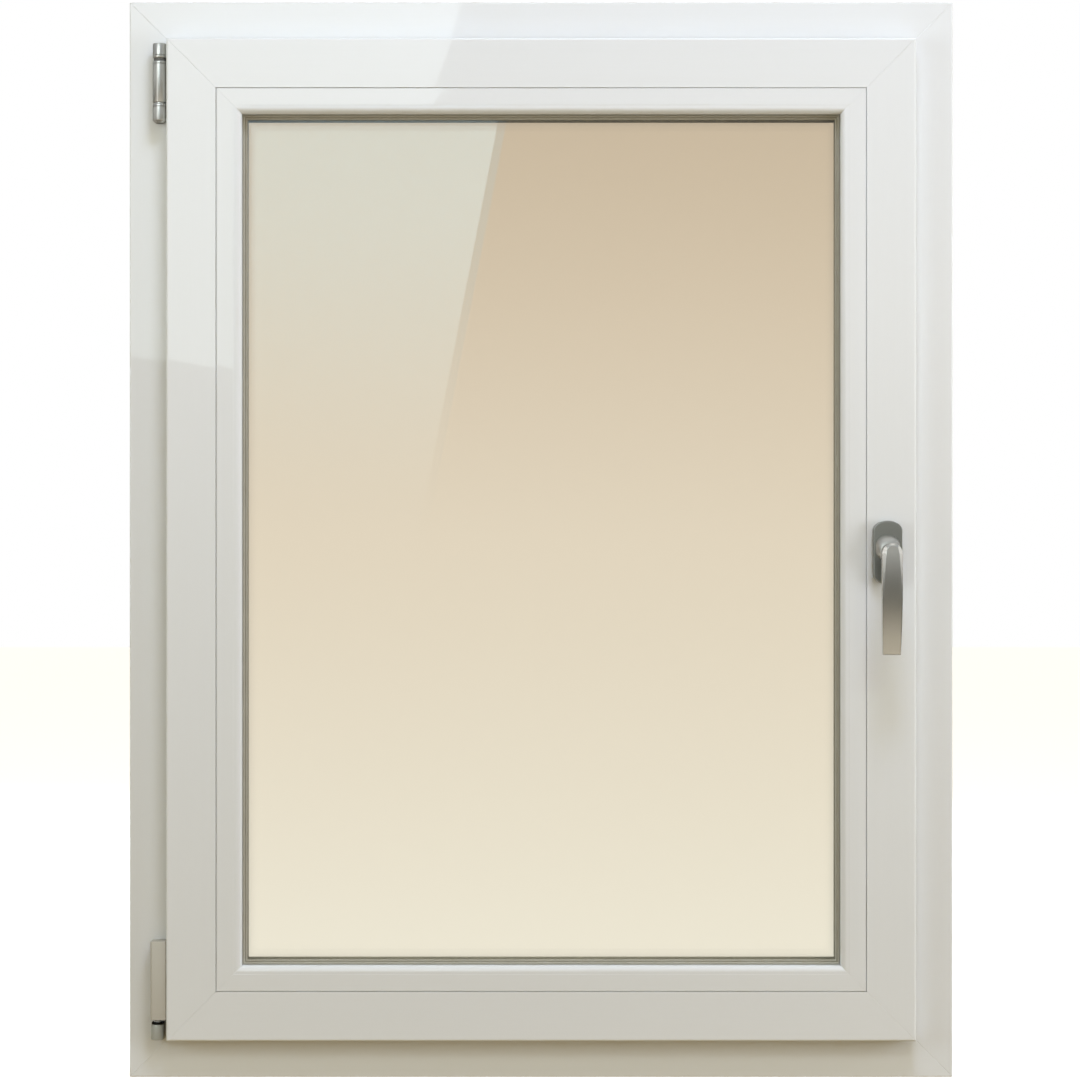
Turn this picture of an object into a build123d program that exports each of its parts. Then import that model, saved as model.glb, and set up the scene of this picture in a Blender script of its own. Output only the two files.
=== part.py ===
from build123d import *
import os

# A single-sash tilt-and-turn window of white plastic profiles, seen from the room.
# Millimetres. X runs to the right, Z up, and the room is on the -Y side.
# The origin is the middle of the frame's bottom face.
# Profiles are drawn in two distances: one inwards from the frame's outer edge,
# and one towards the room from the frame's mid plane.

# Outer frame
frame_width = 850
frame_height = 1110
frame_depth = 76
frame_face = 48
lip_thickness = 18
lip_height = 24
lip_slope = 8
frame_edge_round = 1.5
lip_edge_round = 2
back_groove_width = 9
back_groove_depth = 3
back_groove_offset = 20

# Sash
sash_overlap = 8
sash_proud = 20
sash_seal_gap = 4
stop_seal_gap = 4
rebate_air = 12
sash_face_width = 51
sash_leg_thickness = 12
sash_leg_slope = 7
sash_edge_round = 2.5
sash_leg_round = 1.5

# Glazing beads
bead_width = 26.5
bead_thickness = 12
bead_round = 6
bead_edge_round = 0.4
joint_groove_width = 0.8
joint_groove_depth = 2.5

# Sealed glass unit and the seals
pane_thickness = 4
glass_edge_gap = 6
glass_seal_room = 3
glass_seal_outside = 3
spacer_height = 6.5
edge_seal_height = 4
seal_lip = 5.5
seal_cover = 10
outside_seal_lip = 4
overlap_seal_margin = 1
frame_seal_width = 6
frame_seal_below_lip = 3
setting_block_length = 100
setting_block_inset = 60

# Top hinge, beside the sash on the left jamb
hinge_radius = 7.25
hinge_side_gap = 0.25
hinge_face_gap = 2.75
top_hinge_below_sash_top = 4.6
stay_eye_length = 15
hinge_washer_length = 3
hinge_washer_radius = 6.2
top_bearing_length = 42.5
pin_shoulder_length = 1.5
pin_shoulder_radius = 5.5
pin_cap_length = 20
pin_cap_chamfer = 3
hinge_pin_radius = 3
hinge_pin_clearance = 0.05
pin_end_cover = 5
hinge_foot_width = 10
hinge_arm_thickness = 6
hinge_edge_round = 0.8

# Bottom hinge
corner_bearing_width = 13
corner_bearing_height = 16
corner_bearing_depth = 16
corner_bearing_rise = 0.5
corner_bearing_round = 2
corner_pin_radius = 3.5
corner_pin_seat = 10
corner_pin_reach = 14
band_gap = 4
band_cover_width = 16.2
band_cover_height = 82
band_cover_depth = 16.5
band_cover_wall = 1.5
band_cover_round = 1.2
band_cover_off_frame = 1.5
band_fit = 0.3
band_arm_height = 40
band_arm_above_end = 20
band_arm_depth = 6
band_arm_room = 2

# Handle on the lock stile
handle_from_sash_edge = 30.5
handle_height = 542
rosette_width = 30
rosette_height = 65
rosette_thickness = 10
rosette_arch = 10
rosette_edge_round = 1.5
collar_radius = 8
collar_clearance = 0.08
collar_foot_gap = 0.5
neck_face_gap = 0.5
neck_base_width = 25
neck_base_rise = 17
neck_base_drop = 12
neck_base_round = 9
neck_top_width = 20
neck_top_rise = 8
neck_top_round = 7
lever_reach = 52
lever_lean = 6
lever_bow = 2.5
lever_thickness = 11
lever_width = 21
lever_end_width = 19
lever_rise = 9.5
lever_arch_height = 9
lever_below_axis = 106
lever_edge_chamfer = 1.6
spindle_side = 7
spindle_clearance = 0.05
spindle_in_lever = 20
spindle_reach = 38
spindle_hole_radius = 6
spindle_hole_spare = 3

# Fixing holes through the jambs, and drain covers on the sill's outside
anchor_hole_radius = 4
anchor_from_end = 205
anchor_room = 8
drain_cover_width = 42
drain_cover_height = 14
drain_cover_thickness = 3
drain_cover_up = 16
drain_cover_from_end = 170
drain_mouth_width = 32
drain_mouth_height = 5
drain_mouth_depth = 2

# Faces counted towards the room
frame_room = frame_depth / 2
frame_outside = -frame_depth / 2
lip_room = frame_outside + lip_thickness
sash_room = frame_room + sash_proud
flange_back = frame_room + sash_seal_gap
sash_outside = lip_room + stop_seal_gap
leg_room = sash_outside + sash_leg_thickness
glass_outside = leg_room + glass_seal_outside
bead_back = sash_room - bead_thickness
glass_room = bead_back - glass_seal_room
cavity = (glass_room - glass_outside - 3 * pane_thickness) / 2

# Faces counted inwards from the frame's outer edge
lip_top = frame_face + lip_height
sash_edge = frame_face - sash_overlap
sash_body = frame_face + rebate_air
bead_joint = sash_edge + sash_face_width
sightline = bead_joint + bead_width
glass_edge = bead_joint + glass_edge_gap
spacer_edge = glass_edge + edge_seal_height

# Places in the window's own axes
sash_left = sash_edge - frame_width / 2
sash_top = frame_height - sash_edge
handle_x = frame_width / 2 - sash_edge - handle_from_sash_edge
rosette_room = sash_room + rosette_thickness

os.makedirs("parts", exist_ok=True)


def save(piece, name):
    piece.part.label = name
    export_step(piece.part, f"parts/{name}.step")


# Each side of a mitred frame: its first corner, the way it runs, the way in, its length.
right = Vector(1, 0, 0)
up = Vector(0, 0, 1)
sides = {
    "bottom": (Vector(-frame_width / 2, 0, 0), right, up, frame_width),
    "lock": (Vector(frame_width / 2, 0, 0), up, -right, frame_height),
    "top": (Vector(frame_width / 2, 0, frame_height), -right, -up, frame_width),
    "hinge": (Vector(-frame_width / 2, 0, frame_height), -up, right, frame_height),
}


def mitred_member(side, corners, rounds):
    """One side of a frame from its section, cut at 45 degrees at both ends."""
    start, along, inward, length = sides[side]
    with BuildPart() as member:
        with BuildSketch(Plane(start, x_dir=inward, z_dir=along)):
            with BuildLine():
                FilletPolyline(*corners, radius=rounds, close=True)
            make_face()
        extrude(amount=length)
        split(bisect_by=Plane(start, z_dir=along - inward))
        split(bisect_by=Plane(start + along * length, z_dir=-along - inward))
    return member


def loop(outer_edge, inner_edge, back, front):
    """A rectangular loop between two distances in, and two faces towards the room."""
    with BuildPart() as ring:
        with BuildSketch(Plane.XZ.offset(back)):
            with Locations((0, frame_height / 2)):
                Rectangle(frame_width - 2 * outer_edge, frame_height - 2 * outer_edge)
                Rectangle(
                    frame_width - 2 * inner_edge,
                    frame_height - 2 * inner_edge,
                    mode=Mode.SUBTRACT,
                )
        extrude(amount=front - back)
    return ring


def block(x_span, room_span, z_span, mode=Mode.ADD):
    """A box between two faces along X, towards the room, and up, inside a part."""
    middle = (sum(x_span) / 2, -sum(room_span) / 2, sum(z_span) / 2)
    size = [span[1] - span[0] for span in (x_span, room_span, z_span)]
    with Locations(middle):
        Box(*size, mode=mode)


def back_groove(centre):
    """A groove in the frame's outer face, where sill and extension profiles clip on."""
    room_side = centre + back_groove_width / 2
    far_side = centre - back_groove_width / 2
    return [
        (0, room_side),
        (back_groove_depth, room_side),
        (back_groove_depth, far_side),
        (0, far_side),
    ]


# The frame: sill, head and two jambs, mitred and welded at the corners.
frame_section = [
    (0, frame_outside),
    (lip_top - lip_slope, frame_outside),
    (lip_top, lip_room),
    (frame_face, lip_room),
    (frame_face, frame_room),
    (0, frame_room),
    *back_groove(back_groove_offset),
    *back_groove(-back_groove_offset),
]
frame_rounds = [
    frame_edge_round,
    lip_edge_round,
    lip_edge_round,
    0,
    frame_edge_round,
    frame_edge_round,
]
frame_rounds += [0] * (len(frame_section) - len(frame_rounds))

save(mitred_member("bottom", frame_section, frame_rounds), "frame_sill")
save(mitred_member("top", frame_section, frame_rounds), "frame_head")

# Each jamb has two holes for anchor screws, from its outer face into the rebate.
for side, first_face in (
    ("hinge", -frame_width / 2),
    ("lock", frame_width / 2 - frame_face),
):
    plain_jamb = mitred_member(side, frame_section, frame_rounds)
    with BuildPart() as jamb:
        add(plain_jamb.part)
        with BuildSketch(Plane.YZ.offset(first_face)):
            with Locations(
                (-anchor_room, anchor_from_end),
                (-anchor_room, frame_height - anchor_from_end),
            ):
                Circle(anchor_hole_radius)
        extrude(amount=frame_face, mode=Mode.SUBTRACT)
    save(jamb, f"frame_jamb_{side}")

# The sash: a flange laps over the frame, and a leg outside holds the glass.
sash_section = [
    (sash_edge, flange_back),
    (sash_edge, sash_room),
    (bead_joint, sash_room),
    (bead_joint, leg_room),
    (sightline, leg_room),
    (sightline - sash_leg_slope, sash_outside),
    (sash_body, sash_outside),
    (sash_body, flange_back),
]
sash_rounds = [
    bead_edge_round,
    sash_edge_round,
    bead_edge_round,
    0,
    sash_leg_round,
    sash_leg_round,
    sash_leg_round,
    0,
]

save(mitred_member("bottom", sash_section, sash_rounds), "sash_bottom_rail")
save(mitred_member("top", sash_section, sash_rounds), "sash_top_rail")
save(mitred_member("hinge", sash_section, sash_rounds), "sash_stile_hinge")

# The lock stile has a blind hole for the handle's spindle.
plain_stile = mitred_member("lock", sash_section, sash_rounds)
spindle_hole_depth = spindle_reach + spindle_hole_spare
with BuildPart() as sash_stile_lock:
    add(plain_stile.part)
    with BuildSketch(Plane.XZ.offset(sash_room - spindle_hole_depth)):
        with Locations((handle_x, handle_height)):
            Circle(spindle_hole_radius)
    extrude(amount=spindle_hole_depth, mode=Mode.SUBTRACT)
save(sash_stile_lock, "sash_stile_lock")

# Glazing beads sit on the sash and stand off its face by a thin groove.
groove_inner = bead_joint + joint_groove_width
groove_floor = sash_room - joint_groove_depth
bead_section = [
    (bead_joint, bead_back),
    (sightline, bead_back),
    (sightline, sash_room),
    (groove_inner, sash_room),
    (groove_inner, groove_floor),
    (bead_joint, groove_floor),
]
bead_rounds = [0, bead_edge_round, bead_round, bead_edge_round, 0, 0]

for side, name in (
    ("bottom", "bead_bottom"),
    ("top", "bead_top"),
    ("hinge", "bead_hinge_side"),
    ("lock", "bead_lock_side"),
):
    save(mitred_member(side, bead_section, bead_rounds), name)

# The sealed unit: three panes with a spacer and an edge seal in each cavity.
pane_half_width = frame_width / 2 - glass_edge
pane_span_z = (glass_edge, frame_height - glass_edge)
pane_step = pane_thickness + cavity
for index, name in enumerate(("pane_outside", "pane_middle", "pane_room")):
    outer_face = glass_outside + index * pane_step
    with BuildPart() as pane:
        block(
            (-pane_half_width, pane_half_width),
            (outer_face, outer_face + pane_thickness),
            pane_span_z,
        )
    save(pane, name)

outside_cavity = (glass_outside + pane_thickness, glass_outside + pane_step)
room_cavity = (glass_room - pane_step, glass_room - pane_thickness)
spacer_span = (spacer_edge, spacer_edge + spacer_height)
save(loop(*spacer_span, *outside_cavity), "spacer_outside")
save(loop(*spacer_span, *room_cavity), "spacer_room")
save(loop(glass_edge, spacer_edge, *outside_cavity), "edge_seal_outside")
save(loop(glass_edge, spacer_edge, *room_cavity), "edge_seal_room")

# Seals: on both sides of the glass, under the sash's flange, and on the frame's lip.
seal_root = sightline - seal_cover
seal_top = lip_top - frame_seal_below_lip
save(loop(seal_root, sightline + seal_lip, glass_room, bead_back), "bead_seal")
save(
    loop(seal_root, sightline + outside_seal_lip, leg_room, glass_outside),
    "glazing_seal_outside",
)
save(
    loop(
        sash_edge + overlap_seal_margin,
        frame_face - overlap_seal_margin,
        frame_room,
        flange_back,
    ),
    "sash_seal",
)
save(loop(seal_top - frame_seal_width, seal_top, lip_room, sash_outside), "frame_seal")

# Setting blocks: two under the glass, and one at each side, at opposite corners.
block_room = (glass_outside, glass_room)
low_z = (glass_edge + setting_block_inset, glass_edge + setting_block_inset + setting_block_length)
high_z = (frame_height - low_z[1], frame_height - low_z[0])
block_x = (low_z[0] - frame_width / 2, low_z[1] - frame_width / 2)
with BuildPart() as setting_blocks:
    block(block_x, block_room, (bead_joint, glass_edge))
    block((-block_x[1], -block_x[0]), block_room, (bead_joint, glass_edge))
    block((bead_joint - frame_width / 2, glass_edge - frame_width / 2), block_room, low_z)
    block((frame_width / 2 - glass_edge, frame_width / 2 - bead_joint), block_room, high_z)
save(setting_blocks, "setting_blocks")

# Top hinge: an eye on the sash, a bearing on the frame, and a pin pushed up from below.
hinge_x = sash_left - hinge_side_gap - hinge_radius
hinge_room = frame_room + hinge_face_gap + hinge_radius
hinge_bore = hinge_pin_radius + hinge_pin_clearance
eye_top = sash_top - top_hinge_below_sash_top
eye_bottom = eye_top - stay_eye_length
bearing_top = eye_bottom - hinge_washer_length
bearing_bottom = bearing_top - top_bearing_length
cap_top = bearing_bottom - pin_shoulder_length


def barrel(radius, bottom, top, mode=Mode.ADD):
    """A cylinder on the top hinge's axis, inside a part."""
    with Locations((hinge_x, -hinge_room, (bottom + top) / 2)):
        Cylinder(radius, top - bottom, mode=mode)


with BuildPart() as top_hinge_stay_eye:
    barrel(hinge_radius, eye_bottom, eye_top)
    eye_rims = top_hinge_stay_eye.edges().filter_by(GeomType.CIRCLE)
    fillet(eye_rims, hinge_edge_round)
    block(
        (hinge_x, sash_left),
        (hinge_room - hinge_arm_thickness / 2, hinge_room + hinge_arm_thickness / 2),
        (eye_bottom + hinge_edge_round, eye_top - hinge_edge_round),
    )
    barrel(hinge_bore, eye_bottom, eye_top - pin_end_cover, mode=Mode.SUBTRACT)
save(top_hinge_stay_eye, "top_hinge_stay_eye")

with BuildPart() as top_hinge_washer:
    barrel(hinge_washer_radius, bearing_top, eye_bottom)
    barrel(hinge_bore, bearing_top, eye_bottom, mode=Mode.SUBTRACT)
save(top_hinge_washer, "top_hinge_washer")

with BuildPart() as top_hinge_bearing:
    barrel(hinge_radius, bearing_bottom, bearing_top)
    bearing_rims = top_hinge_bearing.edges().filter_by(GeomType.CIRCLE)
    fillet(bearing_rims, hinge_edge_round)
    block(
        (hinge_x - hinge_foot_width / 2, hinge_x + hinge_foot_width / 2),
        (frame_room, hinge_room),
        (bearing_bottom + hinge_edge_round, bearing_top - hinge_edge_round),
    )
    barrel(hinge_bore, bearing_bottom, bearing_top, mode=Mode.SUBTRACT)
save(top_hinge_bearing, "top_hinge_bearing")

with BuildPart() as top_hinge_pin:
    barrel(hinge_radius, cap_top - pin_cap_length, cap_top)
    cap_rims = top_hinge_pin.edges().filter_by(GeomType.CIRCLE).sort_by(Axis.Z)
    chamfer(cap_rims[0], pin_cap_chamfer)
    fillet(cap_rims[-1], hinge_edge_round)
    barrel(pin_shoulder_radius, cap_top, bearing_bottom)
    barrel(hinge_pin_radius, bearing_bottom, eye_top - pin_end_cover)
save(top_hinge_pin, "top_hinge_pin")

# Bottom hinge: a corner bearing on the frame carries a pin, and the sash's band turns on it.
cover_right = sash_left - hinge_side_gap
cover_left = cover_right - band_cover_width
cover_back = frame_room + band_cover_off_frame
cover_front = cover_back + band_cover_depth
corner_bottom = sash_edge + corner_bearing_rise
corner_top = corner_bottom + corner_bearing_height
band_bottom = corner_top + band_gap
band_top = band_bottom + band_cover_height
corner_pin_x = cover_left + corner_bearing_width / 2
corner_pin_room = frame_room + corner_bearing_depth / 2
corner_bore = corner_pin_radius + hinge_pin_clearance


def corner_round(radius, bottom, top, mode=Mode.ADD):
    """A cylinder on the bottom hinge's axis, inside a part."""
    with Locations((corner_pin_x, -corner_pin_room, (bottom + top) / 2)):
        Cylinder(radius, top - bottom, mode=mode)


with BuildPart() as bottom_hinge_bearing:
    block(
        (cover_left, cover_left + corner_bearing_width),
        (frame_room, frame_room + corner_bearing_depth),
        (corner_bottom, corner_top),
    )
    front_face = bottom_hinge_bearing.faces().sort_by(Axis.Y)[0]
    fillet(front_face.edges(), corner_bearing_round)
    corner_round(corner_bore, corner_top - corner_pin_seat, corner_top, mode=Mode.SUBTRACT)
save(bottom_hinge_bearing, "bottom_hinge_bearing")

with BuildPart() as bottom_hinge_pin:
    corner_round(corner_pin_radius, corner_top - corner_pin_seat, band_bottom + corner_pin_reach)
save(bottom_hinge_pin, "bottom_hinge_pin")

# The band fills its cover up to the front and top walls, and its arm reaches the sash.
arm_z = (band_bottom + band_arm_above_end, band_bottom + band_arm_above_end + band_arm_height)
arm_room = (flange_back + band_arm_room, flange_back + band_arm_room + band_arm_depth)
with BuildPart() as bottom_hinge_cover:
    block((cover_left, cover_right), (cover_back, cover_front), (band_bottom, band_top))
    cover_face = bottom_hinge_cover.faces().sort_by(Axis.Y)[0]
    fillet(cover_face.edges(), band_cover_round)
    block(
        (cover_left + band_cover_wall, cover_right - band_cover_wall),
        (cover_back, cover_front - band_cover_wall),
        (band_bottom, band_top - band_cover_wall),
        mode=Mode.SUBTRACT,
    )
    block(
        (cover_right - band_cover_wall, cover_right),
        (cover_back, arm_room[1] + band_fit),
        (arm_z[0] - band_fit, arm_z[1] + band_fit),
        mode=Mode.SUBTRACT,
    )
save(bottom_hinge_cover, "bottom_hinge_cover")

band_left = cover_left + band_cover_wall + band_fit
band_right = cover_right - band_cover_wall - band_fit
with BuildPart() as bottom_hinge_band:
    block(
        (band_left, band_right),
        (cover_back + band_fit, cover_front - band_cover_wall),
        (band_bottom, band_top - band_cover_wall),
    )
    block((band_right, sash_left), arm_room, arm_z)
    corner_round(corner_bore, band_bottom, band_bottom + corner_pin_reach, mode=Mode.SUBTRACT)
save(bottom_hinge_band, "bottom_hinge_band")

# Handle rosette: a plate with arched ends on the lock stile, bored for the lever's collar.
half_width = rosette_width / 2
half_height = rosette_height / 2
spring_height = half_height - rosette_arch
with BuildPart() as handle_rosette:
    with BuildSketch(Plane((handle_x, -sash_room, handle_height), x_dir=(1, 0, 0), z_dir=(0, -1, 0))):
        with BuildLine():
            ThreePointArc(
                (-half_width, spring_height), (0, half_height), (half_width, spring_height)
            )
            Line((half_width, spring_height), (half_width, -spring_height))
            ThreePointArc(
                (half_width, -spring_height), (0, -half_height), (-half_width, -spring_height)
            )
            Line((-half_width, -spring_height), (-half_width, spring_height))
        make_face()
    extrude(amount=rosette_thickness)
    rosette_front = handle_rosette.faces().sort_by(Axis.Y)[0]
    fillet(rosette_front.edges(), rosette_edge_round)
    with BuildSketch(Plane.XZ.offset(sash_room)):
        with Locations((handle_x, handle_height)):
            Circle(collar_radius + collar_clearance)
    extrude(amount=rosette_thickness, mode=Mode.SUBTRACT)
save(handle_rosette, "handle_rosette")

# Lever: an arch-topped grip that bows towards the room, on a neck that widens to its base.
grip_front = sash_room + lever_reach
grip_end_front = grip_front - lever_lean
grip_middle = -lever_below_axis / 2
grip_bow_front = (grip_front + grip_end_front) / 2 + lever_bow
neck_base = rosette_room + neck_face_gap
neck_end = grip_front - lever_thickness


def lever_level(room):
    """The plane across the handle's axis at a distance towards the room."""
    return Plane((handle_x, -room, handle_height), x_dir=(1, 0, 0), z_dir=(0, -1, 0))


with BuildPart() as handle_lever:
    with BuildSketch(Plane((handle_x, 0, handle_height), x_dir=(0, -1, 0), z_dir=(-1, 0, 0))):
        with BuildLine():
            Line((neck_end, lever_rise), (grip_front, lever_rise))
            ThreePointArc(
                (grip_front, lever_rise),
                (grip_bow_front, grip_middle),
                (grip_end_front, -lever_below_axis),
            )
            Line(
                (grip_end_front, -lever_below_axis),
                (grip_end_front - lever_thickness, -lever_below_axis),
            )
            ThreePointArc(
                (grip_end_front - lever_thickness, -lever_below_axis),
                (grip_bow_front - lever_thickness, grip_middle),
                (neck_end, lever_rise),
            )
        make_face()
    extrude(amount=lever_width / 2, both=True)
    with BuildSketch(lever_level(neck_end - lever_lean)):
        with BuildLine():
            ThreePointArc(
                (-lever_width / 2, lever_rise - lever_arch_height),
                (0, lever_rise),
                (lever_width / 2, lever_rise - lever_arch_height),
            )
            Line(
                (lever_width / 2, lever_rise - lever_arch_height),
                (lever_end_width / 2, -lever_below_axis),
            )
            Line((lever_end_width / 2, -lever_below_axis), (-lever_end_width / 2, -lever_below_axis))
            Line(
                (-lever_end_width / 2, -lever_below_axis),
                (-lever_width / 2, lever_rise - lever_arch_height),
            )
        make_face()
    extrude(amount=lever_reach, mode=Mode.INTERSECT)
    grip_face = handle_lever.faces().sort_by(Axis.Y)[0]
    chamfer(grip_face.edges(), lever_edge_chamfer)
    with BuildSketch(lever_level(neck_base)):
        with Locations((0, (neck_base_rise - neck_base_drop) / 2)):
            RectangleRounded(neck_base_width, neck_base_rise + neck_base_drop, neck_base_round)
    with BuildSketch(lever_level(neck_end + lever_thickness / 2)):
        with Locations((0, (neck_top_rise - neck_base_drop) / 2)):
            RectangleRounded(neck_top_width, neck_top_rise + neck_base_drop, neck_top_round)
    loft()
    with BuildSketch(lever_level(sash_room + collar_foot_gap)):
        Circle(collar_radius)
    extrude(amount=rosette_thickness)
    with BuildSketch(lever_level(sash_room + collar_foot_gap)):
        Rectangle(spindle_side + 2 * spindle_clearance, spindle_side + 2 * spindle_clearance)
    extrude(amount=spindle_in_lever, mode=Mode.SUBTRACT)
save(handle_lever, "handle_lever")

# Square spindle from the lever into the stile.
with BuildPart() as handle_spindle:
    with BuildSketch(lever_level(sash_room - spindle_reach)):
        Rectangle(spindle_side, spindle_side)
    extrude(amount=spindle_reach + collar_foot_gap + spindle_in_lever)
save(handle_spindle, "handle_spindle")

# Drain covers over the sill's outlets, open along the bottom.
cover_centre = frame_width / 2 - drain_cover_from_end
cover_room = (frame_outside - drain_cover_thickness, frame_outside)
for sign, name in ((-1, "drain_cover_left"), (1, "drain_cover_right")):
    middle = sign * cover_centre
    with BuildPart() as drain_cover:
        block(
            (middle - drain_cover_width / 2, middle + drain_cover_width / 2),
            cover_room,
            (drain_cover_up, drain_cover_up + drain_cover_height),
        )
        outer_face = drain_cover.faces().sort_by(Axis.Y)[-1]
        fillet(outer_face.edges(), frame_edge_round)
        block(
            (middle - drain_mouth_width / 2, middle + drain_mouth_width / 2),
            (frame_outside - drain_mouth_depth, frame_outside),
            (drain_cover_up, drain_cover_up + drain_mouth_height),
            mode=Mode.SUBTRACT,
        )
    save(drain_cover, name)
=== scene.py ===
import math

import bmesh
import bpy
from mathutils import Matrix, Vector


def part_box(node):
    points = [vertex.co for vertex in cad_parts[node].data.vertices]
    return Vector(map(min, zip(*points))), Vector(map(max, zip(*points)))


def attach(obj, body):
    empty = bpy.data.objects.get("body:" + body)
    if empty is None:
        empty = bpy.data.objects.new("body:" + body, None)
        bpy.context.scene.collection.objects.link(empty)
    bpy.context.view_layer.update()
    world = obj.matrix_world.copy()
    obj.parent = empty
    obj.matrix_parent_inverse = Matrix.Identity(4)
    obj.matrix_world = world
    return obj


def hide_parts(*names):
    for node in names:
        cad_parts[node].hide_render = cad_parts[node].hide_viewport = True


# A white plastic tilt-and-turn window, seen from the room. Metres.
# X runs to the right, Z up, and the room is on the -Y side.
# A profile's corner is (inwards from the frame's outer edge, towards the room, rounding).

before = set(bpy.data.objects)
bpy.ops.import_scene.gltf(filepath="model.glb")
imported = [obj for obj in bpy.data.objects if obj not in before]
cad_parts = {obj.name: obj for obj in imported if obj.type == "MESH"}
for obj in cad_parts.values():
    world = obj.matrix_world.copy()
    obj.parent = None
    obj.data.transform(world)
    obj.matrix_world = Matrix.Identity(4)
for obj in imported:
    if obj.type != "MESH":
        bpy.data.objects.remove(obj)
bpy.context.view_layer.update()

right = Vector((1, 0, 0))
up = Vector((0, 0, 1))
room = Vector((0, -1, 0))

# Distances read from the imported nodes.
frame_low, frame_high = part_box("frame_sill")
head_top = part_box("frame_head")[1].z
frame_width = frame_high.x - frame_low.x
frame_height = head_top - frame_low.z
frame_room = -frame_low.y
frame_outside = -frame_high.y

rail_low, rail_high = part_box("sash_bottom_rail")
sash_edge = rail_low.z
sash_room = -rail_low.y
sash_outside = -rail_high.y

bead_low, bead_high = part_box("bead_bottom")
bead_joint = bead_low.z
sightline = bead_high.z
bead_back = -bead_high.y
glass_room = -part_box("pane_room")[0].y
glass_outside = -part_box("pane_outside")[1].y

# Frame profile
frame_face = 0.048
lip_top = frame_face + 0.024
lip_thickness = 0.018
lip_slope = 0.008
frame_edge_round = 0.0015
lip_edge_round = 0.002
back_groove_width = 0.009
back_groove_depth = 0.003
back_groove_offset = 0.020

# Sash profile
flange_back = frame_room + 0.004
sash_body = frame_face + 0.012
sash_leg_thickness = 0.012
sash_leg_slope = 0.007
sash_edge_round = 0.0025
sash_leg_round = 0.0015
leg_room = sash_outside + sash_leg_thickness

# Glazing bead profile
bead_round = 0.006
bead_edge_round = 0.0004
joint_groove_width = 0.0008
joint_groove_depth = 0.0025

# Seals
seal_root = sightline - 0.010
bead_seal_lip = sightline + 0.0050
outside_seal_lip = sightline + 0.0020
seal_contact = 0.00008

# Anchor holes through the jambs, and the square of face that each is cut in
anchor_hole_radius = 0.004
anchor_from_end = 0.205
anchor_room = 0.008
anchor_field = 0.006

# Grooves along the mitres, and the limits that the mesh helpers use
weld_groove = 0.00034
bead_mitre_groove = 0.0002
merge_distance = 0.000002
cut_distance = 0.0000005
crease = math.radians(28)
rim_angle = math.radians(60)
quarter_turn = math.radians(90)


# Mesh helpers

def merge(bm):
    """Joins the corners that lie on each other."""
    bmesh.ops.remove_doubles(bm, verts=bm.verts[:], dist=merge_distance)


def face_outwards(bm):
    """Turns the front of every face to the outside."""
    bmesh.ops.recalc_face_normals(bm, faces=bm.faces[:])


def new_mesh(name, bm, material):
    """A mesh of one material from a bmesh, which it lets go."""
    mesh = bpy.data.meshes.new(name)
    bm.to_mesh(mesh)
    bm.free()
    mesh.materials.append(material)
    return mesh


def new_object(name, data):
    """An object in the scene."""
    made = bpy.data.objects.new(name, data)
    bpy.context.scene.collection.objects.link(made)
    return made


def keep_sharp_and_smooth(bm):
    """Smooth faces, with a crease at each corner sharper than the limit."""
    for face in bm.faces:
        face.smooth = True
    for edge in bm.edges:
        edge.smooth = len(edge.link_faces) == 2 and edge.calc_face_angle(0) < crease


def finish_piece(bm, name, material, node, body="window"):
    """Turns a bmesh into a finished piece on its body, in place of a CAD node."""
    merge(bm)
    face_outwards(bm)
    keep_sharp_and_smooth(bm)
    piece = new_object(name, new_mesh(name, bm, material))
    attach(piece, body)
    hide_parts(node)
    return piece


def soften_edges(piece, width):
    """A small rounding along a piece's creased edges."""
    bevel = piece.modifiers.new("edge_rounding", "BEVEL")
    bevel.width = width
    bevel.segments = 2
    bevel.limit_method = "ANGLE"
    bevel.angle_limit = crease
    bevel.harden_normals = True


def weigh_normals(piece):
    """Keeps the large flat faces flat beside narrow rounded edges."""
    weighted = piece.modifiers.new("flat_faces", "WEIGHTED_NORMAL")
    weighted.keep_sharp = True


def verts_of(geometry):
    return [item for item in geometry if isinstance(item, bmesh.types.BMVert)]


def edges_of(geometry):
    return [item for item in geometry if isinstance(item, bmesh.types.BMEdge)]


def faces_of(geometry):
    return [item for item in geometry if isinstance(item, bmesh.types.BMFace)]


def round_corner(bm, vert, radius):
    """Rounds one corner of a flat outline, in more segments where the radius is larger."""
    segments = 2 if radius < 0.001 else 4 + int(radius / 0.0015)
    bmesh.ops.bevel(
        bm,
        geom=[vert],
        affect="VERTICES",
        offset=radius,
        segments=segments,
        profile=0.5,
        material=-1,
    )


def outline(bm, corners, place):
    """A flat face through the corners, each put in place and rounded by its radius."""
    verts = [bm.verts.new(place(a, b)) for a, b, _ in corners]
    bm.faces.new(verts)
    for vert, (_, _, radius) in zip(verts, corners):
        if radius:
            round_corner(bm, vert, radius)


def extrude_faces(bm, faces, vector):
    """Pulls the faces along a vector, into a solid, and gives the moved corners."""
    grown = bmesh.ops.extrude_face_region(bm, geom=faces)["geom"]
    moved = verts_of(grown)
    bmesh.ops.translate(bm, verts=moved, vec=vector)
    return moved


def cut(bm, point, normal, keep_both=False):
    """Cuts everything at a plane. What lies on the normal's side goes, unless both are kept."""
    geometry = bm.verts[:] + bm.edges[:] + bm.faces[:]
    made = bmesh.ops.bisect_plane(
        bm,
        geom=geometry,
        dist=cut_distance,
        plane_co=point,
        plane_no=normal,
        clear_outer=not keep_both,
    )
    return edges_of(made["geom_cut"])


def round_edges(bm, edges, radius, segments=3, clamp=False):
    """Rounds the edges, or with one segment chamfers them."""
    bmesh.ops.bevel(
        bm,
        geom=edges,
        affect="EDGES",
        offset=radius,
        segments=segments,
        profile=0.5,
        material=-1,
        clamp_overlap=clamp,
    )


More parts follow.
